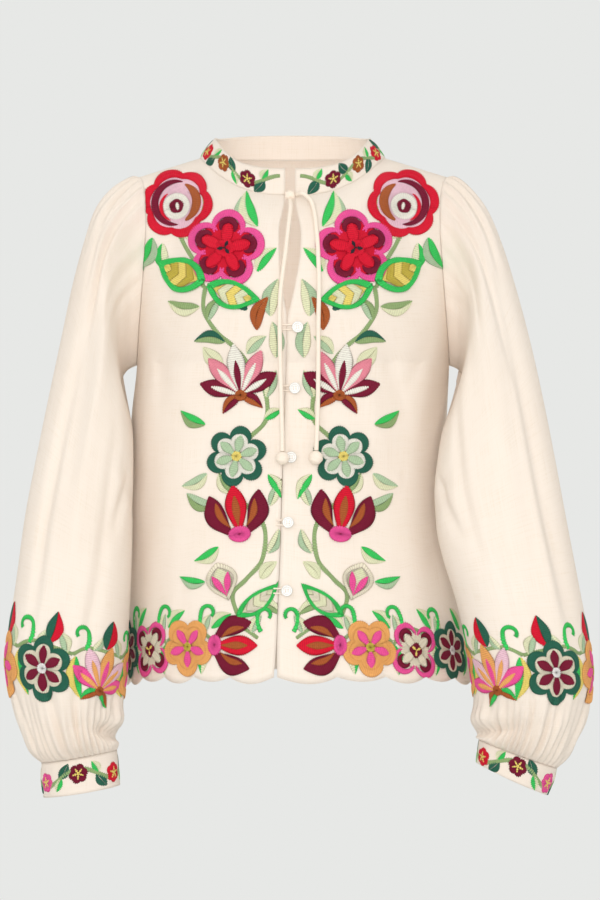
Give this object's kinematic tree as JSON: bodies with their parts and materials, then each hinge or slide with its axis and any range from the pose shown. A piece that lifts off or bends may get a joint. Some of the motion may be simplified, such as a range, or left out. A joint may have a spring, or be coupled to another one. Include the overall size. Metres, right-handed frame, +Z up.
{
  "type": "embroidered long-sleeve blouse",
  "caption": "Cream long-sleeve blouse with a band collar, tied neck slit, buttoned front, gathered balloon sleeves, scalloped hem and raised floral embroidery.",
  "frame": {"origin": "centre of the shoulder line, level with the shoulder seams, where the wearer's shoulders hold the blouse", "axes": "+Z up along the wearer's body, +X to the wearer's left, -Y out of the front"},
  "size_m": [0.5967, 0.2964, 0.6891],
  "materials": {
    "cotton": "matte plain-weave cotton with raised floral stitching",
    "stitched_cotton": "matte cotton band with raised floral stitching",
    "button_shell": "polished shell",
    "cord_cotton": "matte cotton cord"
  },
  "bodies": {
    "root": {"front_right": "cotton", "front_left": "cotton", "back": "cotton", "sleeve_right": "cotton", "sleeve_left": "cotton", "cuff_right": "stitched_cotton", "cuff_left": "stitched_cotton", "collar": "stitched_cotton", "button_1": "button_shell", "button_2": "button_shell", "button_3": "button_shell", "button_4": "button_shell", "button_5": "button_shell", "loop_1": "cord_cotton", "loop_2": "cord_cotton", "loop_3": "cord_cotton", "loop_4": "cord_cotton", "loop_5": "cord_cotton", "tie_knot": "cord_cotton", "tie_end_right": "cord_cotton", "tie_end_left": "cord_cotton", "tie_bead_right": "cord_cotton", "tie_bead_left": "cord_cotton"}
  },
  "joints": []
}
